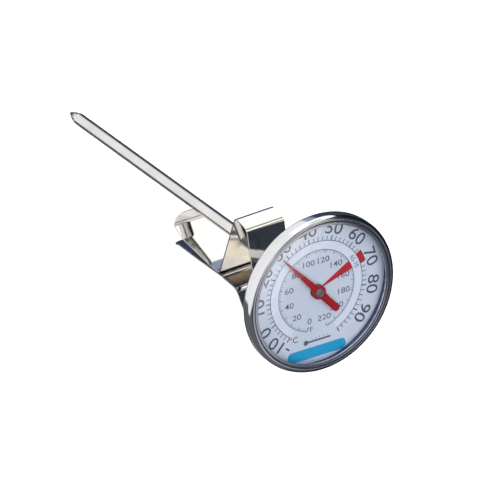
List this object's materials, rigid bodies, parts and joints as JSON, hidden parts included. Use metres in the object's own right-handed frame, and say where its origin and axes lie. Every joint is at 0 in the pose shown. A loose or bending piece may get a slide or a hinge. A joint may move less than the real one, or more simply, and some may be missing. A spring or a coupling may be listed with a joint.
{
  "type": "dial thermometer",
  "caption": "Pocket dial thermometer: round steel head with a two-scale dial under a flat window, long pointed stem and a sliding bent-sheet jar clip.",
  "frame": {"origin": "stem axis, at the shoulder where the stem leaves the calibration nut", "axes": "+Z along the stem out of the dial's front, +Y to twelve o'clock on the dial, +X to three o'clock"},
  "size_m": [0.046, 0.046, 0.137],
  "materials": {
    "stem_steel": "satin drawn tube",
    "polished_steel": "polished stainless sheet",
    "turned_steel": "turned stainless",
    "brass": "turned brass",
    "bimetal": "rolled bimetal strip",
    "dial_paint": "satin silver-white enamel",
    "pointer_red": "gloss red enamel",
    "window_glass": "clear, polished",
    "gasket_rubber": "matte",
    "seal_plastic": "matte",
    "spacer_metal": "satin"
  },
  "bodies": {
    "stem": {"stem_tube": "stem_steel", "probe_tip": "stem_steel", "coil_anchor": "brass", "bimetal_coil": "bimetal", "lower_guide_bush": "brass", "upper_guide_bush": "brass", "stem_collar": "turned_steel", "calibration_nut": "turned_steel"},
    "head": {"case_shell": "polished_steel", "bezel_ring": "polished_steel", "lens": "window_glass", "lens_gasket": "gasket_rubber", "spacer_ring": "spacer_metal", "dial_plate": "dial_paint", "spring_washer": "turned_steel", "seal_washer": "seal_plastic"},
    "pointer": {"pointer": "pointer_red", "pointer_hub": "brass", "pointer_cap": "turned_steel", "pointer_spindle": "turned_steel", "coil_collet": "brass"},
    "clip": {"clip_spring": "polished_steel"},
    "jaw": {"clip_jaw": "polished_steel"}
  },
  "joints": [
    {"name": "dial_calibration", "type": "hinge", "parent": "stem", "child": "head", "pos_m": [0, 0, 0.005], "axis": [0, 0, -1], "range_deg": [-45, 45]},
    {"name": "pointer_turn", "type": "hinge", "parent": "stem", "child": "pointer", "pos_m": [0, 0, 0.009], "axis": [0, 0, -1], "range_deg": [-122, 208], "stiffness_Nm_per_rad": 0.00002, "deforming": ["bimetal_coil"]},
    {"name": "clip_slide", "type": "slide", "parent": "stem", "child": "clip", "axis": [0, 0, 1], "range_m": [-0.078, 0.012]},
    {"name": "jaw_flex", "type": "hinge", "parent": "clip", "child": "jaw", "pos_m": [0.00091, -0.02092, -0.01339], "axis": [-0.999, -0.0436, 0], "range_deg": [0, 8], "stiffness_Nm_per_rad": 0.3}
  ]
}
